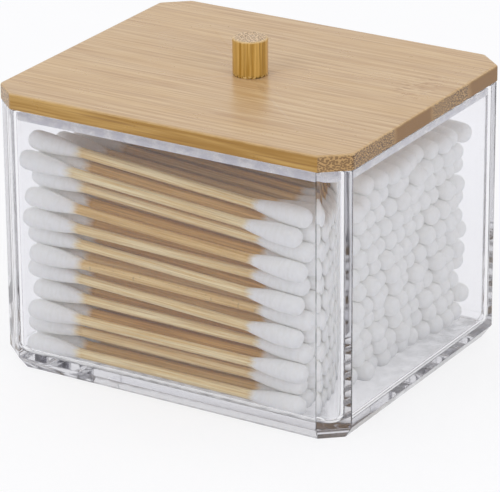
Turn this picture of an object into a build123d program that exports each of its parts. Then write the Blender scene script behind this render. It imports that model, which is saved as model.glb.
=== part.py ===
from build123d import *
import math
import os
import random

# Cotton swab box: a clear moulded box with cut corners, a bamboo lid with a turned
# knob, and a pile of bamboo-stick cotton swabs lying across it from left to right.
# X runs along the front, Y from front to back, Z up. The origin is the middle of
# the footprint, on the surface that the box stands on. Millimetres.

# Swab
swab_length = 75.0
stick_diameter = 2.4
tip_diameter = 4.4
tip_nose_diameter = 2.7
tip_length = 14.0
tip_nose_length = 3.8
swab_facets = 5

# Room inside the clear box
end_room = 11.5
inner_depth = 71.7
inner_height = 61.6

# Clear box
wall_thickness = 3.3
base_thickness = 3.4
corner_cut_x = 6.2
corner_cut_y = 5.3
cavity_corner_radius = 4.2
floor_radius = 2.5
foot_bevel_width = 2.2
foot_bevel_height = 3.1
box_edge_cut = 0.3

# Lid
lid_thickness = 3.9
lid_overhang = 0.2
lid_corner_radius = 1.4
lid_edge_cut = 0.5
ring_height = 3.3
ring_wall = 2.6
ring_clearance = 0.3

# Knob and the screw that holds it from below
knob_diameter = 8.3
knob_height = 8.9
knob_edge_cut = 0.4
screw_diameter = 2.9
screw_head_diameter = 5.6
screw_head_height = 1.6
screw_bite = 6.5
screw_point_length = 1.6
drive_slot_length = 3.2
drive_slot_width = 0.8
drive_slot_depth = 0.9
screw_clearance = 0.05

# How the swabs lie in the pile
pile_gap = 0.1
wall_gap = 0.2
floor_gap = 0.05
side_gap = 0.15
end_gap = 2.0
endwise_scatter = 2.4
backward_drift = 2.0
left_looseness = 0.62
right_looseness = 0.2
sideways_scatter = 0.07
rows_per_swap = 4
taken_from_top = 4
free_height = 6.0

# Sizes that follow from those above
inner_width = swab_length + end_room
box_width = inner_width + 2 * wall_thickness
box_depth = inner_depth + 2 * wall_thickness
box_height = inner_height + base_thickness
tip_radius = tip_diameter / 2
stick_radius = stick_diameter / 2


def cut_corner_plan(width, depth):
    """Rectangle with its four corners cut off, as a flat face."""
    x, y = width / 2, depth / 2
    points = []
    for sx, sy in ((1, -1), (1, 1), (-1, 1), (-1, -1)):
        on_side = (sx * x, sy * (y - corner_cut_y))
        on_end = (sx * (x - corner_cut_x), sy * y)
        points += [on_end, on_side] if sx == -sy else [on_side, on_end]
    return make_face(Polyline(*points, close=True))


def rounded_plan(inset):
    """Outline of the cavity, drawn in by an inset, as a flat face."""
    return RectangleRounded(
        inner_width - 2 * inset, inner_depth - 2 * inset, cavity_corner_radius - inset
    )


def make_container():
    """Clear box: bevelled foot all round, rounded cavity, soft outer edges."""
    body = extrude(cut_corner_plan(box_width, box_depth), amount=box_height)
    bottom = body.faces().sort_by(Axis.Z)[0]
    body = chamfer(bottom.edges(), foot_bevel_width, foot_bevel_height, reference=bottom)
    body = chamfer(body.edges().filter_by(Axis.Z), box_edge_cut)
    cavity = extrude(Pos(0, 0, base_thickness) * rounded_plan(0), amount=inner_height)
    cavity = fillet(cavity.faces().sort_by(Axis.Z)[0].edges(), floor_radius)
    return body - cavity


def make_lid_board():
    """Bamboo board that lies on the rim, bored and countersunk for the screw."""
    plan = cut_corner_plan(box_width + 2 * lid_overhang, box_depth + 2 * lid_overhang)
    plan = fillet(plan.vertices(), lid_corner_radius)
    board = extrude(Pos(0, 0, box_height) * plan, amount=lid_thickness)
    board = chamfer(board.faces().sort_by(Axis.Z)[-1].edges(), lid_edge_cut)
    return board - screw_shape(screw_clearance)


def make_knob():
    """Turned bamboo knob with its top edge eased and a blind hole for the screw."""
    knob = extrude(Pos(0, 0, box_height + lid_thickness) * Circle(knob_diameter / 2), knob_height)
    knob = chamfer(knob.faces().sort_by(Axis.Z)[-1].edges(), knob_edge_cut)
    return knob - screw_shape(screw_clearance)


def screw_shape(clearance):
    """Countersunk screw, point up, its head flush with the underside of the lid."""
    shank = screw_diameter / 2 + clearance
    head = screw_head_diameter / 2 + clearance
    shoulder = screw_head_height + clearance
    tip_start = lid_thickness + screw_bite - screw_point_length + clearance
    outline = Polyline(
        (0, 0), (head, 0), (shank, shoulder), (shank, tip_start),
        (0, tip_start + screw_point_length), close=True,
    )
    profile = make_face(Plane.XZ * outline)
    return Pos(0, 0, box_height) * revolve(profile, Axis.Z)


def make_screw():
    """The screw itself, with a cross recess in its head."""
    screw = screw_shape(0)
    slot = Box(
        drive_slot_length, drive_slot_width, drive_slot_depth,
        align=(Align.CENTER, Align.CENTER, Align.MIN),
    )
    recess = Pos(0, 0, box_height) * (slot + Rot(0, 0, 90) * slot)
    return screw - recess


def make_locating_ring():
    """Clear ring glued under the lid, which centres it in the mouth of the box."""
    band = rounded_plan(ring_clearance) - rounded_plan(ring_clearance + ring_wall)
    return extrude(Pos(0, 0, box_height - ring_height) * band, amount=ring_height)


def section_points(radius, x):
    """Corners of the regular polygon that is one section of a swab, across X."""
    turns = [2 * math.pi * corner / swab_facets for corner in range(swab_facets)]
    return [Vector(x, radius * math.cos(turn), radius * math.sin(turn)) for turn in turns]


def faceted_rod(sections):
    """Solid with flat faces through a list of (radius, place along X) sections."""
    rings = [section_points(radius, x) for radius, x in sections]
    faces = [Face(Wire.make_polygon(ring)) for ring in (rings[0], rings[-1])]
    for ring, following in zip(rings, rings[1:]):
        for corner in range(swab_facets):
            beside = (corner + 1) % swab_facets
            around = [ring[corner], ring[beside], following[beside], following[corner]]
            faces.append(Face(Wire.make_polygon(around)))
    return Solid(Shell(faces))


def make_swab_pieces():
    """One swab along X about the origin: its stick and its two cotton tips.

    The cotton is widest a little behind its nose and thins down to the stick.
    """
    end = swab_length / 2
    tip_end = end - tip_length
    stick = faceted_rod([(stick_radius, -tip_end), (stick_radius, tip_end)])
    cotton = [
        (stick_radius, tip_end),
        (tip_radius, end - tip_nose_length),
        (tip_nose_diameter / 2, end),
    ]
    right_tip = faceted_rod(cotton)
    left_tip = faceted_rod([(radius, -x) for radius, x in cotton])
    return stick, left_tip, right_tip


def pile_columns():
    """Number of swabs in a row from front to back, and the distance between them.

    Every second row starts half a pitch further back, so a row spans that much less.
    """
    corner_seat = tip_radius + max(0.0, floor_radius - tip_radius) * (1 - math.sqrt(0.5))
    first = -inner_depth / 2 + wall_gap + corner_seat
    span = -2 * first
    count = int(span / (tip_diameter + side_gap) + 0.5)
    return count, span / (count - 0.5), first


def pile_rows(pitch):
    """Height and half-pitch shift of both ends of every row, up to the fill line.

    Swabs nest between those below. At the right end the rows alternate all the way
    up. At the left end the pile is looser, and after every few rows one row lies
    straight above the one below it, so that the sticks cross on their way over.
    """
    contact = tip_diameter + pile_gap
    nested_rise = math.sqrt(contact**2 - (pitch / 2) ** 2)
    corner_seat = tip_radius + max(0.0, floor_radius - tip_radius) * (1 - math.sqrt(0.5))
    left = right = base_thickness + floor_gap + corner_seat
    fill_line = box_height - free_height - tip_radius
    rows = []
    left_shift = 0
    while left < fill_line:
        rows.append((left, right, left_shift, len(rows) % 2))
        stacked = len(rows) % rows_per_swap == 0
        left += (contact if stacked else nested_rise) + left_looseness
        right += nested_rise + right_looseness
        left_shift = left_shift if stacked else 1 - left_shift
    return rows


def lay_swab(pieces, left_end, right_end, roll):
    """Pieces of one swab, laid so that it points from one place to the other."""
    start, stop = Vector(*left_end), Vector(*right_end)
    along = (stop - start).normalized()
    level = Vector(0, 1, 0)
    frame = Plane((start + stop) * 0.5, x_dir=along, z_dir=along.cross(level))
    place = frame.location * Rot(roll, 0, 0)
    return [place * piece for piece in pieces]


def make_pile():
    """Sticks and cotton tips of every row of swabs, bottom row first.

    A few swabs behind the first one have been taken from the top row.
    """
    scatter = random.Random(12)
    columns, pitch, first = pile_columns()
    rows = pile_rows(pitch)
    pieces = make_swab_pieces()
    pile = []
    for row, (left_z, right_z, left_shift, right_shift) in enumerate(rows):
        sticks, tips = [], []
        for column in range(columns):
            if row == len(rows) - 1 and 0 < column <= taken_from_top:
                continue
            nose = end_gap + scatter.uniform(0, endwise_scatter)
            nose += backward_drift * column / (columns - 1)
            left_x = nose - inner_width / 2
            left_y = first + pitch * (column + left_shift / 2)
            right_y = first + pitch * (column + right_shift / 2)
            left_lift = scatter.uniform(-0.5, 0.5) * left_looseness if row else 0
            right_lift = scatter.uniform(-0.5, 0.5) * right_looseness if row else 0
            sideways = scatter.uniform(-sideways_scatter, sideways_scatter)
            stick, left_tip, right_tip = lay_swab(
                pieces,
                (left_x, left_y + sideways, left_z + left_lift),
                (left_x + swab_length, right_y - sideways, right_z + right_lift),
                scatter.uniform(0, 360),
            )
            sticks.append(stick)
            tips += [left_tip, right_tip]
        pile.append((sticks, tips))
    return pile


def main():
    os.makedirs("parts", exist_ok=True)
    nodes = {
        "container": make_container(),
        "lid_board": make_lid_board(),
        "lid_knob": make_knob(),
        "knob_screw": make_screw(),
        "locating_ring": make_locating_ring(),
    }
    for number, (sticks, tips) in enumerate(make_pile(), start=1):
        nodes[f"swab_sticks_row_{number:02d}"] = Compound(children=sticks)
        nodes[f"swab_tips_row_{number:02d}"] = Compound(children=tips)
    for name, shape in nodes.items():
        export_step(shape, f"parts/{name}.step")
    print(len(nodes), "nodes")


main()
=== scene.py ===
# %% [markdown]
# # Clear box of cotton swabs with a bamboo lid
# The box is a clear moulded tub with cut corners, closed by a loose bamboo lid with a turned knob, and filled
# with bamboo-stick cotton swabs that lie across it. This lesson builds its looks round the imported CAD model.
# Every place and size comes from that model, so each piece lands where the real one is, in metres.

import math
import random

import bmesh
import bpy
import numpy as np
from mathutils import Matrix, Vector


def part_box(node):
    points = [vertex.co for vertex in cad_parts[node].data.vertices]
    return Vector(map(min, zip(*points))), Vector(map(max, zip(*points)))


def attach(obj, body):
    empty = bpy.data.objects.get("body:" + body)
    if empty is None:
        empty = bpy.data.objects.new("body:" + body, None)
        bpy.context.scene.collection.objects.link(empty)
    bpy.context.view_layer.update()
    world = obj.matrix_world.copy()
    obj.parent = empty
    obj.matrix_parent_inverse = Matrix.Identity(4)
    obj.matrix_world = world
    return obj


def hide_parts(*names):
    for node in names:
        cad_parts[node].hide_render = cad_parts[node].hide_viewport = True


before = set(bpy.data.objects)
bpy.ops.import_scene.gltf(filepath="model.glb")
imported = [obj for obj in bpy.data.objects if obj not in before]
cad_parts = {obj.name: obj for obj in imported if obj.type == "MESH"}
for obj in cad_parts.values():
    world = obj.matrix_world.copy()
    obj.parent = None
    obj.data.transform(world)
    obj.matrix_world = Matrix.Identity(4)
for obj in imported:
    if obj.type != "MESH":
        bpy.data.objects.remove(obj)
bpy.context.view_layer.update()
MM = 0.001

# %% [markdown]
# ## Camera
# The camera stands far away with a long lens, so the box's edges stay almost parallel. Its place and its three
# turns were solved from straight edges of the lid and the foot. A matrix is built from the view direction, which
# is clearer than three Euler angles, and the roll is laid on top of it.

# %% Place the camera
CAMERA_PLACE = Vector((405.0, -665.0, 341.6)) * MM
CAMERA_TURN, CAMERA_TILT, CAMERA_ROLL = (math.radians(a) for a in (-31.371, -22.074, -0.422))
SENSOR_WIDTH, LENS = 36.0, 256.6


def camera_matrix(place, turn, tilt, roll):
    """World matrix of a camera that looks along +Y turned to the right, tilted up and rolled."""
    ahead = Vector((math.sin(turn) * math.cos(tilt), math.cos(turn) * math.cos(tilt), math.sin(tilt)))
    level = Vector((math.cos(turn), -math.sin(turn), 0))
    up = level.cross(ahead)
    right = math.cos(roll) * level + math.sin(roll) * up
    above = math.cos(roll) * up - math.sin(roll) * level
    axes = Matrix((right, above, -ahead)).transposed()
    return Matrix.Translation(place) @ axes.to_4x4()


camera = bpy.data.objects.new("camera", bpy.data.cameras.new("camera"))
camera.data.sensor_width = SENSOR_WIDTH
camera.data.lens = LENS
camera.data.clip_start, camera.data.clip_end = 0.05, 20.0
camera.matrix_world = camera_matrix(CAMERA_PLACE, CAMERA_TURN, CAMERA_TILT, CAMERA_ROLL)
bpy.context.scene.collection.objects.link(camera)
bpy.context.scene.camera = camera
bpy.context.scene.view_settings.view_transform = "Standard"
print("camera at", tuple(round(c, 4) for c in CAMERA_PLACE))

# %% [markdown]
# ## Node helpers
# Materials here are trees of nodes made in code. One helper adds a node and fills its sockets, with a value or
# with another node's output. A second one opens a node group with named sockets, which works like a function that
# several materials call with their own values.


# %% Helpers for node trees
def put(tree, kind, inputs=None, **settings):
    """Adds a shader node, sets its properties, and fills its sockets with values or links."""
    node = tree.nodes.new("ShaderNode" + kind)
    for name, value in settings.items():
        setattr(node, name, value)
    for key, value in (inputs or {}).items():
        if isinstance(value, bpy.types.NodeSocket):
            tree.links.new(value, node.inputs[key])
        else:
            node.inputs[key].default_value = value
    return node


def math_node(tree, operation, first, second=0.0, clamp=False):
    """Output of a Math node."""
    return put(tree, "Math", {0: first, 1: second}, operation=operation, use_clamp=clamp).outputs[0]


def times(tree, first, second, clamp=False):
    """The first value times the second."""
    return math_node(tree, "MULTIPLY", first, second, clamp)


def plus(tree, first, second, clamp=False):
    """The first value plus the second."""
    return math_node(tree, "ADD", first, second, clamp)


def minus(tree, first, second):
    """The first value less the second."""
    return math_node(tree, "SUBTRACT", first, second)


def split(tree, vector):
    """The X, Y and Z outputs of a vector."""
    return put(tree, "SeparateXYZ", {0: vector}).outputs


def blend_colours(tree, factor, first, second):
    """Output of a colour Mix node: first where the factor is 0, second where it is 1."""
    return put(tree, "Mix", {0: factor, 6: first, 7: second}, data_type="RGBA", clamp_factor=True).outputs[2]


def remap(tree, value, low, high, to_low=0.0, to_high=1.0):
    """A value mapped smoothly from one range to another and held at the ends."""
    sockets = {"Value": value, "From Min": low, "From Max": high, "To Min": to_low, "To Max": to_high}
    return put(tree, "MapRange", sockets, interpolation_type="SMOOTHSTEP").outputs[0]


def stretch(tree, vector, scale):
    """A coordinate with each axis scaled by its own number or socket."""
    parts = split(tree, vector)
    scaled = [times(tree, part, by) for part, by in zip(parts, scale)]
    return put(tree, "CombineXYZ", dict(enumerate(scaled))).outputs[0]


def noise(tree, vector, scale=1.0, detail=3.0, roughness=0.55, distortion=0.0):
    """Value output of a Noise Texture."""
    sockets = {"Vector": vector, "Scale": scale, "Detail": detail, "Roughness": roughness}
    return put(tree, "TexNoise", {**sockets, "Distortion": distortion}).outputs[0]


def open_group(name, inputs, outputs, colours=()):
    """A node group with named sockets, and its entry and exit nodes."""
    group = bpy.data.node_groups.new(name, "ShaderNodeTree")
    for label, kind, value in inputs:
        socket = group.interface.new_socket(name=label, in_out="INPUT", socket_type="NodeSocket" + kind)
        if value is not None:
            socket.default_value = value
    for label in outputs:
        group.interface.new_socket(name=label, in_out="OUTPUT", socket_type="NodeSocketFloat")
    for label in colours:
        group.interface.new_socket(name=label, in_out="OUTPUT", socket_type="NodeSocketColor")
    return group, group.nodes.new("NodeGroupInput").outputs, group.nodes.new("NodeGroupOutput").inputs


def use_group(tree, group, **inputs):
    """Places a group in a tree. Spaces in socket names are written as underscores."""
    sockets = {key.replace("_", " "): value for key, value in inputs.items()}
    return put(tree, "Group", sockets, node_tree=group).outputs


def paint(red, green, blue):
    """A display colour, 0 to 255, as the linear colour that a socket takes."""
    shares = (red / 255, green / 255, blue / 255)
    return (*(c / 12.92 if c <= 0.04045 else ((c + 0.055) / 1.055) ** 2.4 for c in shares), 1.0)


def new_material(name):
    """An empty node material, with its tree and its output node."""
    material = bpy.data.materials.new(name)
    material.use_nodes = True
    material.node_tree.nodes.clear()
    return material, material.node_tree, material.node_tree.nodes.new("ShaderNodeOutputMaterial")


print("node helpers ready")


# %% Helpers for materials
def principled(tree, output, **sockets):
    """A Principled shader on the output, its sockets named with underscores for spaces."""
    inputs = {key.replace("_", " "): value for key, value in sockets.items()}
    node = put(tree, "BsdfPrincipled", inputs)
    tree.links.new(node.outputs[0], output.inputs["Surface"])
    return node


def bump(tree, height, depth, strength=1.0):
    """Normal output of a Bump node, its depth in metres."""
    return put(tree, "Bump", {"Height": height, "Distance": depth, "Strength": strength}).outputs[0]


def attribute(tree, name, output):
    """One output of a mesh attribute that a piece carries."""
    return put(tree, "Attribute", attribute_name=name).outputs[output]


print("material helpers ready")

# %% [markdown]
# ## Stage: floor, world and lamps
# Such a box is photographed on white paper in a light tent. The floor keeps a faint share of its real shading, so
# the shadow shows, and is white for the rest. Only rays from the camera, from reflections and through clear
# plastic see that white. Three large soft lamps and a dim world light the box itself. The lamps aren't mirrored in
# it, and the parts of the world overhead and behind the camera are dim in mirrors, which draws the plastic's edges.

# %% Build the floor
FLOOR_DROP = 0.00005
FLOOR_SIZE = 6.0
CAMERA_SHADING, MIRROR_SHADING = 0.28, 0.32
PAPER_GRAIN, PAPER_GLOW = 60.0, 1.05


def seen_directly(tree):
    """1 for rays from the camera, from reflections and through clear plastic, and 0 for light that bounces."""
    path = put(tree, "LightPath").outputs
    seen = plus(tree, path["Is Camera Ray"], path["Is Glossy Ray"], clamp=True)
    return plus(tree, seen, path["Is Transmission Ray"], clamp=True)


floor_material, tree, output = new_material("paper_floor")
paper_grain = noise(tree, put(tree, "TexCoord").outputs["Object"], PAPER_GRAIN)
paper = blend_colours(tree, paper_grain, paint(236, 236, 243), paint(240, 240, 246))
matte = put(tree, "BsdfDiffuse", {"Color": paper})
white = put(tree, "Emission", {"Color": (1.0, 1.0, 1.0, 1.0), "Strength": PAPER_GLOW})
from_camera = put(tree, "LightPath").outputs["Is Camera Ray"]
shading = put(tree, "Mix", {0: from_camera, 2: MIRROR_SHADING, 3: CAMERA_SHADING}).outputs[0]
share = times(tree, seen_directly(tree), minus(tree, 1.0, shading))
mixed = put(tree, "MixShader", {0: share, 1: matte.outputs[0], 2: white.outputs[0]})
tree.links.new(mixed.outputs[0], output.inputs["Surface"])
bpy.ops.mesh.primitive_grid_add(x_subdivisions=8, y_subdivisions=8, size=FLOOR_SIZE, location=(0, 0, -FLOOR_DROP))
floor = bpy.context.object
floor.name = "floor"
floor.data.materials.append(floor_material)
print("floor", FLOOR_SIZE, "m")

# %% Light the stage
SKY_LEVEL, DIM_SHARE = 0.66, 0.75
OVERHEAD_FADE, CAMERA_FADE, CAMERA_SIDE = (0.5, 0.8), (0.75, 1.02), 0.5
BOX_MIDDLE = Vector((0, 0, 0.04))
world = bpy.data.worlds.new("light_tent")
bpy.context.scene.world = world
world.use_nodes = True
tree = world.node_tree
tree.nodes.clear()
seen = seen_directly(tree)
toward = split(tree, put(tree, "TexCoord").outputs["Generated"])
overhead = remap(tree, toward["Z"], *OVERHEAD_FADE)
to_camera = minus(tree, times(tree, toward["X"], CAMERA_SIDE), toward["Y"])
behind_camera = remap(tree, to_camera, *CAMERA_FADE)
dim = math_node(tree, "MAXIMUM", overhead, behind_camera)
mirrored = minus(tree, 1.0, times(tree, dim, DIM_SHARE))
from_camera = put(tree, "LightPath").outputs["Is Camera Ray"]
shown = math_node(tree, "MAXIMUM", mirrored, from_camera)
level = put(tree, "Mix", {0: seen, 2: SKY_LEVEL, 3: shown}).outputs[0]
sky = put(tree, "Background", {"Color": (1.0, 1.0, 1.0, 1.0), "Strength": level})
tree.links.new(sky.outputs[0], put(tree, "OutputWorld").inputs["Surface"])


def soft_lamp(name, place, size, power):
    """A square soft box that points at the middle of the box."""
    lamp = bpy.data.objects.new(name, bpy.data.lights.new(name, "AREA"))
    lamp.data.shape, lamp.data.size, lamp.data.energy = "SQUARE", size, power
    lamp.location = place
    lamp.rotation_mode = "QUATERNION"
    lamp.rotation_quaternion = (BOX_MIDDLE - Vector(place)).to_track_quat("-Z", "Y")
    lamp.visible_glossy = lamp.visible_transmission = False
    bpy.context.scene.collection.objects.link(lamp)


soft_lamp("overhead_lamp", (-0.25, 0.1, 1.3), 0.9, 2.5)
soft_lamp("front_lamp", (-0.4, -1.2, 0.7), 0.7, 4.0)
soft_lamp("right_lamp", (1.3, -0.2, 0.6), 0.7, 4.0)
print("sky level", SKY_LEVEL)

# %% [markdown]
# ## Light paths through clear walls
# Light that enters a thick clear wall at an edge is mirrored inside it many times before it gets out. Blender's
# usual limits are a few turns, and it shows black beyond them, so the limits go up. Light between white cotton tips
# also bounces many times before it fades, which keeps the gaps between them pale.

# %% Allow long light paths
PATH_TURNS = 120
cycles = bpy.context.scene.cycles
cycles.max_bounces = cycles.transmission_bounces = cycles.glossy_bounces = PATH_TURNS
cycles.transparent_max_bounces, cycles.diffuse_bounces = 20, 10
print("light paths up to", PATH_TURNS, "turns")

# %% [markdown]
# ## Mesh helpers
# The tub, the ring and the lid all have one plan outline that is repeated at many heights, a little wider or
# narrower each time. So one helper offsets a plan and rounds its corners, another rounds a side profile, and a
# third skins the stack of rings. That gives eased edges with few faces, and even ones, which clear plastic needs.

# %% Outlines and profiles
ARC_STEPS = 4


def edge_normals(corners):
    """Outward normal of the edge that leaves each corner of an anticlockwise outline."""
    normals = []
    for here, following in zip(corners, corners[1:] + corners[:1]):
        along = (following - here).normalized()
        normals.append(Vector((along.y, -along.x)))
    return normals


def offset_outline(corners, inset):
    """A convex outline moved inwards, its edges still parallel."""
    leaving = edge_normals(corners)
    arriving = leaving[-1:] + leaving[:-1]
    return [p - (a + b) * inset / (1 + a.dot(b)) for p, a, b in zip(corners, arriving, leaving)]


def round_outline(corners, radius, steps=ARC_STEPS):
    """Points round a convex outline with every corner rounded to a radius."""
    leaving = edge_normals(corners)
    arriving = leaving[-1:] + leaving[:-1]
    points = []
    for corner, a, b in zip(corners, arriving, leaving):
        centre = corner - (a + b) * radius / (1 + a.dot(b))
        turn = a.angle(b)
        for step in range(steps + 1):
            share = step / steps
            swung = (a * math.sin((1 - share) * turn) + b * math.sin(share * turn)) / math.sin(turn)
            points.append(centre + swung * radius)
    return points


def rectangle(half_x, half_y):
    """Corners of a rectangle, anticlockwise."""
    return [Vector(p) for p in ((half_x, -half_y), (half_x, half_y), (-half_x, half_y), (-half_x, -half_y))]


def cut_rectangle(half_x, half_y, cut_x, cut_y):
    """Corners of a rectangle with its four corners cut off, anticlockwise."""
    points = []
    for sx, sy in ((1, -1), (1, 1), (-1, 1), (-1, -1)):
        on_side, on_end = (sx * half_x, sy * (half_y - cut_y)), (sx * (half_x - cut_x), sy * half_y)
        points += [on_end, on_side] if sx == -sy else [on_side, on_end]
    return [Vector(p) for p in points]


def soften(profile, radii, steps=ARC_STEPS):
    """An open (inset, height) profile with its inner corners rounded, one radius each."""
    points = [Vector(profile[0])]
    for before, corner, after, radius in zip(profile, profile[1:], profile[2:], radii):
        before, corner, after = Vector(before), Vector(corner), Vector(after)
        back, on = (before - corner).normalized(), (after - corner).normalized()
        half = back.angle(on) / 2
        centre = corner + (back + on).normalized() * radius / math.sin(half)
        start, stop = corner + back * radius / math.tan(half), corner + on * radius / math.tan(half)
        first, last = start - centre, stop - centre
        turn = first.angle(last)
        for step in range(steps + 1):
            share = step / steps
            swung = (first * math.sin((1 - share) * turn) + last * math.sin(share * turn)) / math.sin(turn)
            points.append(centre + swung)
    return points + [Vector(profile[-1])]


print("outline helpers ready")


# %% Skinning rings into a mesh
def add_ring(mesh, outline, height):
    """Vertices of one closed ring at a height."""
    return [mesh.verts.new((p.x, p.y, height)) for p in outline]


def skin(mesh, rings):
    """Quads between each ring and the next."""
    for low, high in zip(rings, rings[1:]):
        for i in range(len(low)):
            j = (i + 1) % len(low)
            mesh.faces.new((low[i], low[j], high[j], high[i]))


def fill_between(mesh, outer, inner):
    """A flat face between two closed rings, as triangles."""
    edges = []
    for ring in (outer, inner):
        for i, vertex in enumerate(ring):
            other = ring[(i + 1) % len(ring)]
            edges.append(mesh.edges.get((vertex, other)) or mesh.edges.new((vertex, other)))
    bmesh.ops.triangle_fill(mesh, use_beauty=True, use_dissolve=False, edges=edges)


def finish_piece(name, mesh, body, material, node):
    """Turns a bmesh into a smooth piece whose flat faces stay flat."""
    bmesh.ops.recalc_face_normals(mesh, faces=mesh.faces)
    for face in mesh.faces:
        face.smooth = True
    data = bpy.data.meshes.new(name)
    mesh.to_mesh(data)
    mesh.free()
    piece = place_piece(name, data, body, material, node)
    normals = piece.modifiers.new("flat_faces_stay_flat", "WEIGHTED_NORMAL")
    normals.mode, normals.weight = "FACE_AREA", 100
    return piece


def place_piece(name, data, body, material, node):
    """Links a mesh as a piece that rides on its body and stands for a CAD node."""
    piece = bpy.data.objects.new(name, data)
    bpy.context.scene.collection.objects.link(piece)
    data.materials.append(material)
    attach(piece, body)
    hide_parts(node)
    return piece


print("skin helpers ready")

# %% [markdown]
# ## Shared finishes
# Bamboo shows long fibres along the stalk and dark dots, the cut fibre bundles, across it. The lid, the knob and the
# sticks share the first, and the lid and the knob the second. A patchy mask on eased edges, used for a painted
# highlight on the bamboo and for painted dark shade lines on the plastic, is shared as well, and so is an uneven
# surface. Each is one group, made once, that puts out only masks and heights.

# %% Group: long bamboo fibres
FLOAT, COORDINATE = "Float", "Vector"
fibres, given, result = open_group(
    "bamboo_fibres",
    [("Vector", COORDINATE, None), ("Along", FLOAT, 30.0), ("Across", FLOAT, 1200.0)],
    ["Streaks", "Fine lines", "Bands", "Height"],
)
long_vector = stretch(fibres, given["Vector"], (given["Along"], given["Across"], given["Across"]))
streaks = noise(fibres, long_vector, 1.0, 4.0, 0.6)
lines = noise(fibres, stretch(fibres, long_vector, (1.2, 1.9, 1.9)), 1.0, 3.0, 0.65)
bands = noise(fibres, stretch(fibres, long_vector, (0.5, 0.16, 0.16)), 1.0, 2.0, 0.5)
for name, value in (
    ("Streaks", remap(fibres, streaks, 0.36, 0.64)),
    ("Fine lines", remap(fibres, lines, 0.5, 0.66)),
    ("Bands", remap(fibres, bands, 0.35, 0.65)),
    ("Height", plus(fibres, streaks, lines)),
):
    fibres.links.new(value, result[name])
print("group", fibres.name)

# %% Group: cut fibre bundles
bundles, given, result = open_group(
    "cut_fibre_bundles",
    [("Vector", COORDINATE, None), ("Density", FLOAT, 1500.0), ("Size", FLOAT, 0.32)],
    ["Dots", "Height"],
)
wobble = put(bundles, "TexNoise", {"Vector": given["Vector"], "Scale": 700.0, "Detail": 2.0}).outputs["Color"]
shift = put(bundles, "VectorMath", {0: wobble, "Scale": 0.0003}, operation="SCALE").outputs[0]
moved = put(bundles, "VectorMath", {0: given["Vector"], 1: shift}, operation="ADD").outputs[0]
flat = {"Vector": moved, "Scale": given["Density"], "Randomness": 0.85}
cells = put(bundles, "TexVoronoi", flat, voronoi_dimensions="2D").outputs["Distance"]
edge = plus(bundles, given["Size"], 0.16)
dots = remap(bundles, cells, given["Size"], edge, 1.0, 0.0)
bundles.links.new(dots, result["Dots"])
bundles.links.new(minus(bundles, 1.0, dots), result["Height"])
print("group", bundles.name)

# %% Group: painted highlight and shade on eased edges
edge_light_and_shade, given, result = open_group(
    "edge_highlight_and_shade",
    [("Vector", COORDINATE, None), ("Eased", FLOAT, 0.0), ("Amount", FLOAT, 0.7), ("Scale", FLOAT, 400.0)],
    ["Mask"],
)
patches = remap(edge_light_and_shade, noise(edge_light_and_shade, given["Vector"], given["Scale"], 3.0), 0.3, 0.65, 0.45, 1.0)
worn = times(edge_light_and_shade, times(edge_light_and_shade, given["Eased"], patches), given["Amount"], clamp=True)
edge_light_and_shade.links.new(worn, result["Mask"])
print("group", edge_light_and_shade.name)

# %% Group: uneven surface
uneven, given, result = open_group(
    "uneven_surface",
    [("Vector", COORDINATE, None), ("Scale", FLOAT, 200.0), ("Low", FLOAT, 0.3), ("High", FLOAT, 0.4)],
    ["Value", "Height"],
)
patches = noise(uneven, given["Vector"], given["Scale"], 4.0, 0.6)
uneven.links.new(remap(uneven, patches, 0.3, 0.7, given["Low"], given["High"]), result["Value"])
uneven.links.new(patches, result["Height"])
print("group", uneven.name)

# %% [markdown]
# ## Bamboo of the lid
# The lid is pressed from bamboo strips that run from left to right. From above they give a pale tan with fine
# streaks, the long sides are golden with long lines, and the ends show the cut bundles as dark dots. The long sides
# are also painted darker than the top, which is painted shade for sides that get less light than the top. The
# surface's own normal tells these apart, so one material does the whole board. The strips are about 17 mm wide, and
# dense ones with many bundles alternate with plain ones. Near the right edge lies a joint of the stalk, a small patch
# of short crossing lines.

# %% Material: lid bamboo
STALK_JOINT, JOINT_REACH = (38.0 * MM, 11.5 * MM), (7.0 * MM, 12.0 * MM)
STRIP_WIDTH, STRIP_MIDDLE, FRONT_STRIP = 17.5 * MM, 12.5 * MM, -24.0 * MM


def patch_mask(tree, place, middle, reach):
    """1 in the middle of an oval patch and 0 outside it."""
    shift = put(tree, "VectorMath", {0: place, 1: (*middle, 0.0)}, operation="SUBTRACT").outputs[0]
    away = put(tree, "VectorMath", {0: stretch(tree, shift, (1 / reach[0], 1 / reach[1], 0.0))}, operation="LENGTH")
    return remap(tree, away.outputs["Value"], 0.35, 1.0, 1.0, 0.0)


lid_bamboo, tree, output = new_material("lid_bamboo")
place = put(tree, "TexCoord").outputs["Object"]
facing = split(tree, put(tree, "NewGeometry").outputs["Normal"])
upward = remap(tree, math_node(tree, "ABSOLUTE", facing["Z"]), 0.45, 0.85)
endways = remap(tree, math_node(tree, "ABSOLUTE", facing["X"]), 0.35, 0.6)
grain = use_group(tree, fibres, Vector=place, Along=26.0, Across=900.0)
top = blend_colours(tree, grain["Streaks"], paint(190, 154, 112), paint(214, 184, 142))
golden = blend_colours(tree, 0.45, top, paint(206, 170, 120))
top = blend_colours(tree, grain["Bands"], golden, top)
top = blend_colours(tree, times(tree, grain["Fine lines"], 0.55), top, paint(166, 124, 86))
joint = patch_mask(tree, place, STALK_JOINT, JOINT_REACH)
crossing = noise(tree, stretch(tree, place, (330.0, 1700.0, 330.0)), 1.0, 2.0, 0.6, 0.5)
crossed = times(tree, joint, remap(tree, crossing, 0.5, 0.62))
top = blend_colours(tree, times(tree, crossed, 0.6), top, paint(158, 112, 72))
flecks = times(tree, joint, remap(tree, crossing, 0.44, 0.3))
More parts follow.
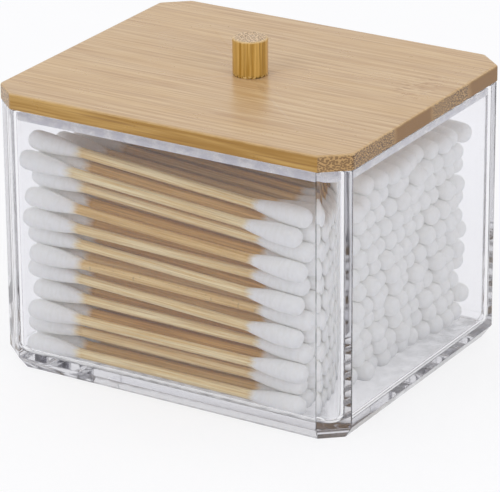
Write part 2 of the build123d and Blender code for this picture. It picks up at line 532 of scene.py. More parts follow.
top = blend_colours(tree, times(tree, flecks, 0.6), top, paint(226, 204, 170))
# The long sides: golden grain, painted darker than the top as painted shade for the less light they get.
side = blend_colours(tree, grain["Streaks"], paint(162, 119, 46), paint(194, 154, 84))
side = blend_colours(tree, times(tree, grain["Fine lines"], 0.6), side, paint(136, 94, 40))
parts = split(tree, place)
cut_plane = put(tree, "CombineXYZ", {0: parts["Y"], 1: parts["Z"]}).outputs[0]
waver = times(tree, noise(tree, cut_plane, 300.0), 3.0 * MM)
uneven_y = plus(tree, math_node(tree, "MAXIMUM", parts["Y"], FRONT_STRIP), waver)
turn = times(tree, minus(tree, uneven_y, STRIP_MIDDLE), math.pi / STRIP_WIDTH)
dense = remap(tree, math_node(tree, "COSINE", turn), -0.25, 0.3)
ends = use_group(tree, bundles, Vector=cut_plane, Density=2400.0, Size=remap(tree, dense, 0.0, 1.0, -0.12, 0.37))
end = blend_colours(tree, dense, paint(132, 92, 36), paint(188, 150, 98))
square_on = remap(tree, math_node(tree, "ABSOLUTE", facing["X"]), 0.75, 0.95, 0.65, 0.95)
end = blend_colours(tree, times(tree, ends["Dots"], square_on), end, paint(86, 58, 30))
colour = blend_colours(tree, upward, blend_colours(tree, endways, side, end), top)
# Painted highlight: the sanded top edge is painted paler, in patches.
eased = use_group(tree, edge_light_and_shade, Vector=place, Eased=attribute(tree, "eased", "Fac"), Amount=0.3, Scale=500.0)["Mask"]
colour = blend_colours(tree, eased, colour, paint(222, 192, 146))
satin = use_group(tree, uneven, Vector=place, Scale=130.0, Low=0.27, High=0.32)
relief = plus(tree, grain["Height"], times(tree, ends["Height"], endways))
principled(tree, output, Base_Color=colour, Roughness=satin["Value"], Normal=bump(tree, relief, 0.00003, 0.5))
print("material", lid_bamboo.name)

# %% [markdown]
# ## The lid board
# A flat board, 3.9 mm thick, with the same cut corners as the tub. Its edges are sanded round, the top ones more, and
# it is bored and countersunk for the screw that holds the knob. A mesh attribute marks the sanded top edge, so that
# the material can paint a pale highlight on it there, in patches.

# %% Piece: lid board
LID_CUT = (6.2 * MM, 5.3 * MM)
LID_CORNER, LID_TOP_EASE, LID_BOTTOM_EASE = 1.4 * MM, 0.55 * MM, 0.2 * MM
HEAD_RADIUS, SHANK_RADIUS, SINK_DEPTH = 2.85 * MM, 1.5 * MM, 1.65 * MM
FLAT_MARGIN, FLAT_RIM, MARKED_SHARE = 3.0 * MM, 0.15 * MM, 0.95
LID_CORNER_STEPS, BORE_AROUND = 6, 32
low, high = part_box("lid_board")
board_corners = cut_rectangle(high.x, high.y, *LID_CUT)
mesh = bmesh.new()
eased_layer = mesh.verts.layers.float.new("eased")
side_profile = soften(
    [(FLAT_MARGIN, low.z), (0, low.z), (0, high.z), (FLAT_MARGIN, high.z)], [LID_BOTTOM_EASE, LID_TOP_EASE]
)
side_profile.insert(-1, Vector((LID_TOP_EASE + FLAT_RIM, high.z)))
rings, marked = [], LID_TOP_EASE * MARKED_SHARE
for inset, height in side_profile:
    outline = round_outline(offset_outline(board_corners, inset), LID_CORNER, LID_CORNER_STEPS)
    rings.append(add_ring(mesh, outline, height))
    for vertex in rings[-1]:
        vertex[eased_layer] = 1.0 if height > high.z - marked and inset < marked else 0.0
skin(mesh, rings)


def circle(radius, count):
    """Points of a circle round the middle axis."""
    return [Vector((math.cos(a), math.sin(a))) * radius for a in (2 * math.pi * i / count for i in range(count))]


bore = [
    add_ring(mesh, circle(radius, BORE_AROUND), height)
    for radius, height in (
        (HEAD_RADIUS, low.z), (SHANK_RADIUS, low.z + SINK_DEPTH), (SHANK_RADIUS, high.z),
    )
]
skin(mesh, bore)
fill_between(mesh, rings[0], bore[0])
fill_between(mesh, rings[-1], bore[-1])
lid = finish_piece("bamboo_lid", mesh, "lid", lid_bamboo, "lid_board")
print("lid", len(lid.data.polygons), "faces")

# %% [markdown]
# ## The knob
# The knob is turned from a bamboo rod, so its fibres stand upright and its top shows the cut bundles, and the eased
# rim round its top is painted pale in patches as a painted highlight. Round its foot a ragged dark band is painted
# contact shade, with pale chips among it. A lathe profile gives the shape. A small random ripple round it stands for
# fibres that the tool left proud.

# %% Material: knob bamboo
KNOB_BASE, RAGGED_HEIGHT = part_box("lid_knob")[0].z, 0.9 * MM
knob_bamboo, tree, output = new_material("knob_bamboo")
place = put(tree, "TexCoord").outputs["Object"]
parts = split(tree, place)
upright = put(tree, "CombineXYZ", {0: parts["Z"], 1: parts["X"], 2: parts["Y"]}).outputs[0]
facing = split(tree, put(tree, "NewGeometry").outputs["Normal"])
upward = remap(tree, facing["Z"], 0.6, 0.9)
grain = use_group(tree, fibres, Vector=upright, Along=30.0, Across=1500.0)
ends = use_group(tree, bundles, Vector=place, Density=1750.0, Size=0.3)
side = blend_colours(tree, grain["Streaks"], paint(174, 130, 46), paint(222, 180, 100))
side = blend_colours(tree, remap(tree, grain["Bands"], 0.55, 0.95), side, paint(214, 174, 124))
side = blend_colours(tree, times(tree, grain["Fine lines"], 0.65), side, paint(136, 96, 26))
top = blend_colours(tree, times(tree, ends["Dots"], 0.8), paint(226, 196, 158), paint(138, 106, 76))
# Painted shade: a ragged dark band round the foot stands in for the contact shadow where the knob meets the lid. Pale
# chips lie among it.
near_base = remap(tree, parts["Z"], KNOB_BASE + RAGGED_HEIGHT, KNOB_BASE)
chip_and_shade_noise = noise(tree, place, 1500.0)
ragged_contact_shade = times(tree, near_base, remap(tree, chip_and_shade_noise, 0.5, 0.55))
side = blend_colours(tree, ragged_contact_shade, side, paint(96, 68, 14))
flakes = times(tree, near_base, remap(tree, chip_and_shade_noise, 0.46, 0.4))
side = blend_colours(tree, flakes, side, paint(232, 204, 146))
colour = blend_colours(tree, upward, side, top)
# Painted highlight: the eased top rim is painted paler, in patches.
eased = use_group(tree, edge_light_and_shade, Vector=place, Eased=attribute(tree, "eased", "Fac"), Amount=0.8, Scale=900.0)["Mask"]
colour = blend_colours(tree, eased, colour, paint(226, 196, 146))
satin = use_group(tree, uneven, Vector=place, Scale=600.0, Low=0.34, High=0.48)
relief = plus(tree, grain["Height"], times(tree, ends["Height"], upward))
principled(tree, output, Base_Color=colour, Roughness=satin["Value"], Normal=bump(tree, relief, 0.00006, 0.8))
print("material", knob_bamboo.name)

# %% Piece: knob
KNOB_AROUND, KNOB_EASE, FIBRE_RIPPLE = 128, 0.4 * MM, 0.09 * MM
BORE_DEPTH, BORE_POINT, KNOB_FOOT_EASE = 4.9 * MM, 1.6 * MM, 0.15 * MM
chance = random.Random(5)
low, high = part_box("lid_knob")
knob_radius = high.x
outside = soften(
    [(2.0 * MM, low.z), (0, low.z), (0, high.z), (2.2 * MM, high.z)], [KNOB_FOOT_EASE, KNOB_EASE]
)
outside.insert(-1, Vector((KNOB_EASE + FLAT_RIM, high.z)))
inside = [(SHANK_RADIUS * 0.02, BORE_DEPTH + BORE_POINT), (SHANK_RADIUS, BORE_DEPTH), (SHANK_RADIUS, 0.0)]
lathe = [(radius, low.z + depth) for radius, depth in inside]
lathe += [(knob_radius - inset, height) for inset, height in outside]
ripple = [chance.random() * FIBRE_RIPPLE for _ in range(KNOB_AROUND)]
mesh = bmesh.new()
eased_layer = mesh.verts.layers.float.new("eased")
rings = []
for radius, height in lathe:
    on_side = radius > knob_radius - KNOB_EASE
    points = [p.normalized() * (radius - on_side * r) for p, r in zip(circle(1, KNOB_AROUND), ripple)]
    rings.append(add_ring(mesh, points, height))
    on_ease = on_side and height > high.z - KNOB_EASE * MARKED_SHARE and radius < knob_radius
    for vertex in rings[-1]:
        vertex[eased_layer] = 1.0 if on_ease else 0.0
skin(mesh, rings)
mesh.faces.new(rings[0])
mesh.faces.new(rings[-1])
knob = finish_piece("bamboo_knob", mesh, "lid", knob_bamboo, "lid_knob")
print("knob", len(knob.data.polygons), "faces")

# %% [markdown]
# ## Screw
# One countersunk steel screw holds the knob from below. The CAD part already has its cross recess, so it stays,
# and gets a brushed steel with fine turning lines round its axis.

# %% Material: steel
steel, tree, output = new_material("brushed_steel")
place = put(tree, "TexCoord").outputs["Object"]
parts = split(tree, place)
squared = [times(tree, parts[axis], parts[axis]) for axis in ("X", "Y")]
from_axis = math_node(tree, "SQRT", plus(tree, *squared))
turned = put(tree, "CombineXYZ", {0: from_axis, 1: parts["Z"]}).outputs[0]
lines = noise(tree, turned, 9000.0, 2.0)
finish = use_group(tree, uneven, Vector=place, Scale=900.0, Low=0.24, High=0.42)
colour = blend_colours(tree, lines, paint(168, 168, 172), paint(206, 206, 208))
principled(
    tree, output, Base_Color=colour, Metallic=1.0, Roughness=finish["Value"], Normal=bump(tree, lines, 0.00001, 0.5)
)
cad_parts["knob_screw"].data.materials.clear()
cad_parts["knob_screw"].data.materials.append(steel)
print("material", steel.name)

# %% [markdown]
# ## Clear plastic
# The tub is moulded in clear styrene. What makes it read as such is bending of light at its thick walls and bevels,
# so it is a Principled shader with full transmission, a little absorption inside, and a faint flow ripple. Light
# that reaches the swabs by bouncing passes it straight, by Light Path, which keeps them bright.

# %% Material: clear plastic
CLEAR_IOR = 1.53
clear_plastic, tree, output = new_material("clear_plastic")
place = put(tree, "TexCoord").outputs["Object"]
polish = use_group(tree, uneven, Vector=place, Scale=120.0, Low=0.0, High=0.02)
flow = noise(tree, stretch(tree, place, (1.0, 1.0, 0.4)), 90.0, 2.0, 0.4)
edges = use_group(tree, edge_light_and_shade, Vector=place, Eased=attribute(tree, "eased", "Fac"), Amount=0.9, Scale=300.0)["Mask"]
# Painted shade: on the marked edges the clear colour turns dark grey, in patches, which draws them as dark lines.
glassy = put(
    tree, "BsdfPrincipled",
    {
        "Base Color": blend_colours(tree, edges, paint(252, 252, 254), paint(56, 56, 62)),
        "Roughness": polish["Value"], "IOR": CLEAR_IOR,
        "Transmission Weight": 1.0, "Normal": bump(tree, flow, 0.00004, 0.25),
    },
)
through = put(tree, "BsdfTransparent", {"Color": paint(241, 241, 241)})
path = put(tree, "LightPath").outputs
for_lamps = put(tree, "MixShader", {0: path["Is Shadow Ray"], 1: glassy.outputs[0], 2: through.outputs[0]})
for_bounces = put(tree, "MixShader", {0: path["Is Diffuse Ray"], 1: for_lamps.outputs[0], 2: through.outputs[0]})
tree.links.new(for_bounces.outputs[0], output.inputs["Surface"])
tint = put(tree, "VolumeAbsorption", {"Color": (0.88, 0.878, 0.888, 1.0), "Density": 36.0})
tree.links.new(tint.outputs[0], output.inputs["Volume"])
print("material", clear_plastic.name)

# %% [markdown]
# ## The tub
# One moulding: a foot bevel all round, cut corners, and a cavity with rounded corners and a rounded floor edge.
# Its outside and its cavity are two stacks of rings, joined over the rim. Flat faces keep flat normals, or the things
# behind them would look bent. A mesh attribute marks the narrow rounded edges, where the plastic's colour is painted
# dark grey in patches. That is painted shade, which draws them as the thin dark lines of edges that turn the light
# away. The upright edges and the lowest one are marked in full, and the edge above the foot bevel less.

# %% Piece: clear tub
TUB_CUT, WALL = (6.2 * MM, 5.3 * MM), 3.3 * MM
FOOT_WIDTH, FOOT_HEIGHT, TUB_EDGE, UPRIGHT_EDGE = 2.2 * MM, 3.1 * MM, 0.4 * MM, 0.5 * MM
CAVITY_CORNER, FLOOR_ROUND, TUB_FLOOR, MOUTH_EASE = 4.2 * MM, 2.5 * MM, 3.4 * MM, 0.15 * MM
FLOOR_STEPS, CAVITY_STEPS = 8, 12
RIM_GAP, BOTTOM_SHADE_LINE, BEVEL_SHADE_LINE, BOTTOM_SHARE = 0.02 * MM, 1.0, 0.3, 0.3
low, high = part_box("container")
rim = high.z - RIM_GAP
mesh = bmesh.new()
outer_corners = cut_rectangle(high.x, high.y, *TUB_CUT)
outer_profile = soften(
    [(FOOT_WIDTH + 1.0 * MM, low.z), (FOOT_WIDTH, low.z), (0, low.z + FOOT_HEIGHT), (0, rim), (0.8 * MM, rim)],
    [TUB_EDGE] * 3,
)
bevel_start = outer_profile[ARC_STEPS + 1]
outer_profile.insert(ARC_STEPS + 2, bevel_start.lerp(outer_profile[ARC_STEPS + 2], BOTTOM_SHARE))
eased_layer = mesh.verts.layers.float.new("eased")
outside = [
    add_ring(mesh, round_outline(offset_outline(outer_corners, inset), UPRIGHT_EDGE), height)
    for inset, height in outer_profile
]
# Rings 2 and on are the rounded lowest edge, and those after the added ring the edge above the foot bevel.
# These marks paint the plastic dark there as painted shade lines, full on the lowest edge and fainter above the
# bevel.
foot_marks = dict.fromkeys(range(2, ARC_STEPS + 2), BOTTOM_SHADE_LINE)
foot_marks.update(dict.fromkeys(range(ARC_STEPS + 4, 2 * ARC_STEPS + 3), BEVEL_SHADE_LINE))
for step, ring in enumerate(outside):
    round_foot = foot_marks.get(step, 0.0)
    for i, vertex in enumerate(ring):
        vertex[eased_layer] = 1.0 if 0 < i % (ARC_STEPS + 1) < ARC_STEPS else round_foot
skin(mesh, outside)
mesh.faces.new(outside[0])
cavity_corners = rectangle(high.x - WALL, high.y - WALL)
cavity_profile = soften(
    [(-0.4 * MM, rim), (0, rim), (0, TUB_FLOOR), (FLOOR_ROUND + 0.6 * MM, TUB_FLOOR)],
    [MOUTH_EASE, FLOOR_ROUND], FLOOR_STEPS,
)
inside = [
    add_ring(mesh, round_outline(offset_outline(cavity_corners, inset), CAVITY_CORNER - inset, CAVITY_STEPS), height)
    for inset, height in cavity_profile
]
skin(mesh, inside)
mesh.faces.new(inside[-1])
fill_between(mesh, outside[-1], inside[0])
tub = finish_piece("clear_tub", mesh, "box", clear_plastic, "container")
print("tub", len(tub.data.polygons), "faces")

# %% [markdown]
# ## The locating ring
# A band of milky plastic glued under the lid keeps it from sliding off. Through the tub's wall it shows as the pale
# strip under the board. It has the cavity's outline, drawn in a little, and eased lower edges. The milk in it is
# uneven, so the strip is mottled.

# %% Material: milky plastic
milky_plastic, tree, output = new_material("milky_plastic")
place = put(tree, "TexCoord").outputs["Object"]
clouds = use_group(tree, uneven, Vector=stretch(tree, place, (1.0, 1.0, 1.6)), Scale=260.0, Low=0.12, High=0.3)
milk = blend_colours(tree, remap(tree, clouds["Height"], 0.4, 0.62), paint(226, 226, 236), paint(252, 252, 255))
principled(
    tree, output, Base_Color=milk, Roughness=clouds["Value"], IOR=1.5, Transmission_Weight=0.1,
    Normal=bump(tree, clouds["Height"], 0.0004, 0.4),
)
print("material", milky_plastic.name)

# %% Piece: locating ring
RING_CLEARANCE, RING_WALL, RING_EASE, GLUE_GAP = 0.3 * MM, 2.6 * MM, 0.2 * MM, 0.02 * MM
EDGE_STEPS, RING_STEPS = 3, 10
low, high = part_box("locating_ring")
ring_corners = rectangle(high.x, high.y)
ring_corner = CAVITY_CORNER - RING_CLEARANCE
top_of_ring = high.z - GLUE_GAP
half_wall = RING_WALL / 2
mesh = bmesh.new()
ring_profile = soften(
    [
        (half_wall, top_of_ring), (0, top_of_ring), (0, low.z), (RING_WALL, low.z),
        (RING_WALL, top_of_ring), (half_wall, top_of_ring),
    ],
    [RING_EASE] * 4, EDGE_STEPS,
)[:-1]
rings = [
    add_ring(mesh, round_outline(offset_outline(ring_corners, inset), ring_corner - inset, RING_STEPS), height)
    for inset, height in ring_profile
]
skin(mesh, rings + rings[:1])
ring = finish_piece("milky_ring", mesh, "lid", milky_plastic, "locating_ring")
print("ring", len(ring.data.polygons), "faces")

# %% [markdown]
# ## Where every swab lies
# The CAD rows hold plain five-sided swabs. Each loose part of a stick row is one stick, and the two ends of that
# part give the swab's line, so no list of places is needed here. The cotton's reach beyond the stick is measured
# from the cotton rows in the same way.


# %% Read the swabs from the frame
def loose_parts(node):
    """Corner points of every separate solid of a CAD node."""
    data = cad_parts[node].data
    spots, index = {}, []
    for vertex in data.vertices:
        index.append(spots.setdefault(tuple(round(c * 1e5) for c in vertex.co), len(spots)))
    places = [None] * len(spots)
    for vertex, spot in zip(data.vertices, index):
        places[spot] = tuple(vertex.co)
    leader = list(range(len(spots)))

    def find(spot):
        while leader[spot] != spot:
            leader[spot] = leader[leader[spot]]
            spot = leader[spot]
        return spot

    for face in data.polygons:
        first = find(index[face.vertices[0]])
        for vertex in face.vertices[1:]:
            leader[find(index[vertex])] = first
    parts = {}
    for spot, point in enumerate(places):
        parts.setdefault(find(spot), []).append(point)
    return [np.array(points) for points in parts.values()]


def stick_ends(points):
    """Middles of the left and the right end of one stick."""
    middle = points.mean(0)
    along = np.linalg.svd(points - middle)[2][0]
    along = along * np.sign(along[0])
    places = (points - middle) @ along
    return points[places < 0].mean(0), points[places > 0].mean(0)


rows = sorted(n.rsplit("_", 1)[1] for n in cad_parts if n.startswith("swab_sticks_row_"))
swab_rows = {}
for row in rows:
    sticks = [stick_ends(points) for points in loose_parts(f"swab_sticks_row_{row}")]
    swab_rows[row] = sorted(sticks, key=lambda ends: ends[0][1])
left, right = swab_rows[rows[0]][0]
along = (right - left) / np.linalg.norm(right - left)
nearest = min(loose_parts(f"swab_tips_row_{rows[0]}"), key=lambda p: np.linalg.norm(p.mean(0) - right))
COTTON_LENGTH = float(((nearest - right) @ along).max())
print("swabs:", sum(map(len, swab_rows.values())), "cotton length:", round(COTTON_LENGTH / MM, 2), "mm")

# %% [markdown]
# ## Sticks and cotton
# The sticks are round bamboo, each with a tone partly its own at random, fine fibres and a rare pit. Those along the
# front and the back wall are pale, and those inside the pile are painted browner, as painted shade for the light they
# lose deep in the pile. The cotton is wound on wet and dried: round nose, widest just behind it, then a long thin end
# through which the stick shows. There it loses its soft, lit-through look as well, or a grey line would mark where it
# starts. Three mesh attributes carry that: the place on the swab, a tone that holds both its own colour and that
# painted shade, and how far along the cotton a point is.

# %% Group: colour of one stick
stick_colour, given, result = open_group(
    "stick_colour", [("Vector", COORDINATE, None), ("Tone", FLOAT, 0.5)], ["Height"], ["Colour"]
)
grain = use_group(stick_colour, fibres, Vector=given["Vector"], Along=45.0, Across=2600.0)
pits = use_group(
    stick_colour, bundles, Vector=stretch(stick_colour, given["Vector"], (0.6, 1.0, 1.0)), Density=900.0, Size=-0.02
)
pale = blend_colours(stick_colour, given["Tone"], paint(252, 234, 188), paint(228, 178, 88))
dark = blend_colours(stick_colour, given["Tone"], paint(232, 196, 130), paint(194, 138, 44))
colour = blend_colours(stick_colour, grain["Streaks"], dark, pale)
faint = times(stick_colour, grain["Fine lines"], 0.35)
colour = blend_colours(stick_colour, faint, colour, paint(168, 126, 78))
off_pitted = math_node(stick_colour, "ABSOLUTE", minus(stick_colour, given["Tone"], 0.5))
some_sticks = remap(stick_colour, off_pitted, 0.03, 0.035, 1.0, 0.0)
pitted = times(stick_colour, times(stick_colour, pits["Dots"], some_sticks), 0.6)
stick_colour.links.new(blend_colours(stick_colour, pitted, colour, paint(120, 88, 56)), result["Colour"])
stick_colour.links.new(grain["Height"], result["Height"])
print("group", stick_colour.name)

# %% Material: stick bamboo
stick_bamboo, tree, output = new_material("stick_bamboo")
lay = attribute(tree, "lay", "Vector")
stick = use_group(tree, stick_colour, Vector=lay, Tone=attribute(tree, "tone", "Fac"))
dry = use_group(tree, uneven, Vector=lay, Scale=900.0, Low=0.5, High=0.68)
principled(
    tree, output, Base_Color=stick["Colour"], Roughness=dry["Value"], Normal=bump(tree, stick["Height"], 0.00004, 0.7)
)
print("material", stick_bamboo.name)

# %% Material: wound cotton
cotton, tree, output = new_material("wound_cotton")
lay = attribute(tree, "lay", "Vector")
wound = attribute(tree, "wound", "Fac")
fuzz = use_group(tree, uneven, Vector=lay, Scale=2200.0, Low=0.85, High=1.0)
turns = noise(tree, stretch(tree, lay, (1400.0, 500.0, 500.0)), 1.0, 3.0, 0.6, 0.4)
strands = noise(tree, stretch(tree, lay, (160.0, 900.0, 900.0)), 1.0, 3.0, 0.6, 0.6)
white = blend_colours(tree, fuzz["Height"], paint(250, 249, 247), paint(254, 254, 253))
shaded = blend_colours(tree, remap(tree, turns, 0.6, 0.35), white, paint(247, 246, 243))
ragged = plus(tree, wound, times(tree, minus(tree, strands, 0.5), 0.22))
thin = remap(tree, ragged, -0.085, 0.14, 1.0, 0.0)
under = use_group(tree, stick_colour, Vector=lay, Tone=attribute(tree, "tone", "Fac"))
colour = blend_colours(tree, thin, shaded, under["Colour"])
relief = plus(tree, fuzz["Height"], turns)
principled(
    tree, output, Base_Color=colour, Roughness=fuzz["Value"], Normal=bump(tree, relief, 0.00005, 0.25),
    Specular_IOR_Level=0.15, Sheen_Weight=0.25, Sheen_Roughness=0.5,
    Subsurface_Weight=minus(tree, 1.0, thin), Subsurface_Radius=(1.0, 0.95, 0.9),
    Subsurface_Scale=0.006,
)
print("material", cotton.name)

# %% Shapes along a swab
STICK_RADIUS, FILM_RADIUS, COTTON_RADIUS, STICK_TUCK = 1.2 * MM, 1.25 * MM, 2.42 * MM, 1.5 * MM
NOSE_LENGTH, BELLY_LENGTH, NOSE_BLUNTNESS = 2.4 * MM, 2.4 * MM, 0.66
STICK_AROUND, COTTON_AROUND, TAPER_RINGS, NOSE_RINGS, NOSE_STOP = 12, 20, 9, 7, 86
STICK_BOW, LUMPS = 0.12 * MM, 0.04


def cotton_profile():
    """(distance from the stick's end, radius) of a cotton tip, nose last."""
    profile = [(-1.2 * MM, STICK_RADIUS * 0.95), (-0.9 * MM, STICK_RADIUS * 1.005)]  # starts inside the stick
    taper = COTTON_LENGTH - NOSE_LENGTH - BELLY_LENGTH
    for share in np.linspace(0, 1, TAPER_RINGS):
        swell = 0.4 * share + 0.6 * math.sin(share * math.pi / 2)
        profile.append((taper * share, FILM_RADIUS + (COTTON_RADIUS - FILM_RADIUS) * swell))
    profile.append((taper + BELLY_LENGTH * 0.5, COTTON_RADIUS))
    for angle in np.radians(np.linspace(0, NOSE_STOP, NOSE_RINGS)):
        nose = taper + BELLY_LENGTH + NOSE_LENGTH * math.sin(angle)
        profile.append((nose, COTTON_RADIUS * math.cos(angle) ** NOSE_BLUNTNESS))
    return profile


def swab_frame(left, right):
    """Unit vectors along and across a swab."""
    along = (right - left) / np.linalg.norm(right - left)
    across = np.cross(np.array([0.0, 0.0, 1.0]), along)
    across /= np.linalg.norm(across)
    return along, across, np.cross(along, across)


def tube_faces(around, count, first):
    """Faces of a tube of rings, with both ends closed."""
    faces = []
    for ring in range(count - 1):
        for i in range(around):
            j = (i + 1) % around
            here, above = first + ring * around, first + (ring + 1) * around
            faces.append((here + i, here + j, above + j, above + i))
    faces.append(tuple(first + (count - 1) * around + i for i in range(around)))
    faces.append(tuple(first + i for i in reversed(range(around))))
    return faces


def row_mesh(name, tubes, around):
    """One mesh from many tubes, with their lay, tone and wound attributes."""
    points, lays, tones, winds, faces = [], [], [], [], []
    for places, lay, tone, wind in tubes:
        faces += tube_faces(around, len(places) // around, sum(map(len, points)))
        points.append(places)
        lays.append(lay)
        tones.append(np.full(len(places), tone))
        winds.append(wind)
    data = bpy.data.meshes.new(name)
    data.from_pydata(np.concatenate(points).tolist(), [], faces)
    for label, kind, key, values in (
        ("lay", "FLOAT_VECTOR", "vector", lays),
        ("tone", "FLOAT", "value", tones),
        ("wound", "FLOAT", "value", winds),
    ):
        layer = data.attributes.new(label, kind, "POINT")
        layer.data.foreach_set(key, np.concatenate(values).astype(np.float32).ravel())
    mesh = bmesh.new()
    mesh.from_mesh(data)
    bmesh.ops.recalc_face_normals(mesh, faces=mesh.faces)
    mesh.to_mesh(data)
    mesh.free()
    data.polygons.foreach_set("use_smooth", [True] * len(faces))
    return data


print("cotton profile", len(cotton_profile()), "rings")

# %% [markdown]
# ## Cotton presses against cotton
# Each tip alone is rounder and thicker than the room it has. In the pile the tips press flat against each other
# and against the walls. So every ring of a tip is cut back, direction by direction, to the plane halfway between
# it and each neighbour at that place, which a cloth simulation would give at far more cost.

# %% Press the tips together
PRESS_GAP, WALL_GAP = 0.012 * MM, 0.04 * MM
LOOK_AROUND, LEAST_FACING, CORE_SHARE = 2.2, 0.05, 0.4
all_left = np.array([left for row in rows for left, right in swab_rows[row]])
all_right = np.array([right for row in rows for left, right in swab_rows[row]])
all_length = np.linalg.norm(all_right - all_left, axis=1)
all_along = (all_right - all_left) / all_length[:, None]
profile = cotton_profile()
REACH = np.array([x for x, radius in profile])
THICKNESS = np.array([radius for x, radius in profile])
HALF_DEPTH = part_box("container")[1].y - WALL


def neighbours_at(centre, own):
    """Offsets to, and radii of, the other swabs in the plane across the box through a point."""
    travel = (centre[0] - all_left[:, 0]) / all_along[:, 0]
    offsets = (all_left + travel[:, None] * all_along - centre)[:, 1:]
    beyond = np.maximum(-travel, travel - all_length)
    radii = np.where(beyond <= 0, STICK_RADIUS, np.interp(beyond, REACH, THICKNESS, right=0.0))
    near = (radii > 0) & (np.hypot(*offsets.T) < LOOK_AROUND * COTTON_RADIUS)
    near[own] = False
    return offsets[near], radii[near]


def pressed(centre, own, radius, directions):
    """Radius in each direction, cut back to the planes between a tip and its neighbours."""
    limits = np.full(len(directions), radius)
    for offset, other in zip(*neighbours_at(centre, own)):
        distance = np.hypot(*offset)
        plane = (distance**2 + radius**2 - other**2) / (2 * distance) - PRESS_GAP
        facing = directions @ offset / distance
        toward = facing > LEAST_FACING
        limits[toward] = np.minimum(limits[toward], np.maximum(plane, CORE_SHARE * radius) / facing[toward])
    return limits


def kept_inside(places):
    """Points moved back inside the cavity, its rounded floor edges included."""
    half, floor_level = HALF_DEPTH - WALL_GAP, TUB_FLOOR + WALL_GAP
    places[:, 1] = np.clip(places[:, 1], -half, half)
    places[:, 2] = np.maximum(places[:, 2], floor_level)
    from_side = half - FLOOR_ROUND - np.abs(places[:, 1])
    from_floor = places[:, 2] - floor_level - FLOOR_ROUND
    out = np.hypot(from_side, from_floor)
    in_corner = (from_side < 0) & (from_floor < 0) & (out > FLOOR_ROUND)
    pull = np.where(in_corner, FLOOR_ROUND / np.maximum(out, 1e-9), 1.0)
    places[:, 1] = np.where(in_corner, np.sign(places[:, 1]) * (half - FLOOR_ROUND - from_side * pull), places[:, 1])
    places[:, 2] = np.where(in_corner, floor_level + FLOOR_ROUND + from_floor * pull, places[:, 2])
    return places


print("swabs that press:", len(all_left))

# %% Tubes of one swab
STICK_STEPS, FACET_FIT, LUMP_TWIST, LUMP_WAVE = 13, 0.99, 350, 520
turn_angles = {n: np.arange(n) * 2 * math.pi / n for n in (STICK_AROUND, COTTON_AROUND)}


def stick_tube(left, axes, length, tone, pattern, bow_turn, bow):
    """Points and attributes of one stick, bowed a little, its ends tucked into the cotton."""
    along, across, above = axes
    angles = turn_angles[STICK_AROUND]
    places, lay = [], []
    for x in np.linspace(-STICK_TUCK, length + STICK_TUCK, STICK_STEPS):
        side = bow * math.sin(math.pi * min(max(x / length, 0), 1))
        y = STICK_RADIUS * FACET_FIT * np.cos(angles) + side * math.cos(bow_turn)
        z = STICK_RADIUS * FACET_FIT * np.sin(angles) + side * math.sin(bow_turn)
        places.append(left + x * along + y[:, None] * across + z[:, None] * above)
        lay.append(np.stack([np.full(STICK_AROUND, x), y, z], 1) + pattern)
    return np.concatenate(places), np.concatenate(lay), tone, np.zeros(STICK_AROUND * STICK_STEPS)


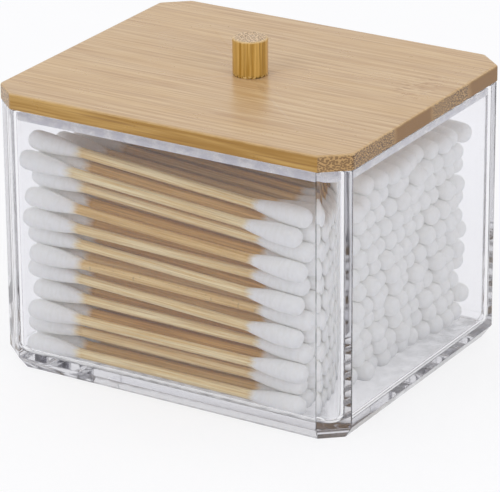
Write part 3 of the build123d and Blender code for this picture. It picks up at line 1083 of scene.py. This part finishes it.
def cotton_tube(own, end, outward, start, axes, tone, pattern, phase, pinch, fullness):
    """Points and attributes of one cotton tip, lumpy and pressed against its neighbours."""
    along, across, above = axes
    angles = turn_angles[COTTON_AROUND]
    sides = np.cos(angles)[:, None] * across + np.sin(angles)[:, None] * above
    places, lay, wind = [], [], []
    for x, radius in profile:
        lumps = 0.5 + 0.5 * np.sin(2 * angles + phase + x * LUMP_TWIST) * math.cos(x * LUMP_WAVE + pinch)
        full = STICK_RADIUS + (radius - STICK_RADIUS) * fullness if radius > STICK_RADIUS else radius
        centre = end + x * outward
        around = pressed(centre, own, full, sides[:, 1:]) * (1 - LUMPS * lumps * max(x, 0) / COTTON_LENGTH)
        places.append(kept_inside(centre + around[:, None] * sides))
        along_swab = np.full(COTTON_AROUND, start + x * float(outward @ along))
        lay.append(np.stack([along_swab, around * np.cos(angles), around * np.sin(angles)], 1) + pattern)
        wind.append(np.full(COTTON_AROUND, x / COTTON_LENGTH))
    return np.concatenate(places), np.concatenate(lay), tone, np.concatenate(wind)


print("swab tubes ready")

# %% Pieces: one row of sticks and one of cotton at a time
PATTERN_SPREAD, THINNEST = 3.0, 0.05
PALE_LEAN, DARKEST_UNSHADED_OUTER, PALEST_SHADED_INNER = 1.6, 0.75, 0.6
chance = random.Random(21)
made = 0
for row in rows:
    stick_tubes, cotton_tubes = [], []
    for number, (left, right) in enumerate(swab_rows[row]):
        own = int(np.argmin(np.linalg.norm(all_left - left, axis=1)))
        axes, length = swab_frame(left, right), all_length[own]
        # Painted shade: sticks inside the pile, the top row among them, get browner tones than those along the front
        # and back walls.
        outer_unshaded = number in (0, len(swab_rows[row]) - 1)
        drawn = chance.random()
        tone = drawn**PALE_LEAN * DARKEST_UNSHADED_OUTER if outer_unshaded else PALEST_SHADED_INNER + (1 - PALEST_SHADED_INNER) * drawn
        pattern = np.array([chance.uniform(-1, 1) for _ in range(3)]) * PATTERN_SPREAD
        bow_turn, bow = chance.uniform(0, 2 * math.pi), chance.uniform(0, STICK_BOW)
        stick_tubes.append(stick_tube(left, axes, length, tone, pattern, bow_turn, bow))
        for end, outward, start in ((left, -axes[0], 0.0), (right, axes[0], length)):
            phase, pinch = chance.uniform(0, 2 * math.pi), chance.uniform(0, 2 * math.pi)
            fullness = 1 - chance.random() * THINNEST
            cotton_tubes.append(cotton_tube(own, end, outward, start, axes, tone, pattern, phase, pinch, fullness))
    for kind, tubes, around, slot, material, node in (
        ("sticks", stick_tubes, STICK_AROUND, "bamboo_stick", stick_bamboo, f"swab_sticks_row_{row}"),
        ("cotton", cotton_tubes, COTTON_AROUND, "cotton", cotton, f"swab_tips_row_{row}"),
    ):
        place_piece(f"{kind}_row_{row}", row_mesh(f"{kind}_row_{row}", tubes, around), "box", material, node)
        made += len(tubes)
print("tubes made:", made)
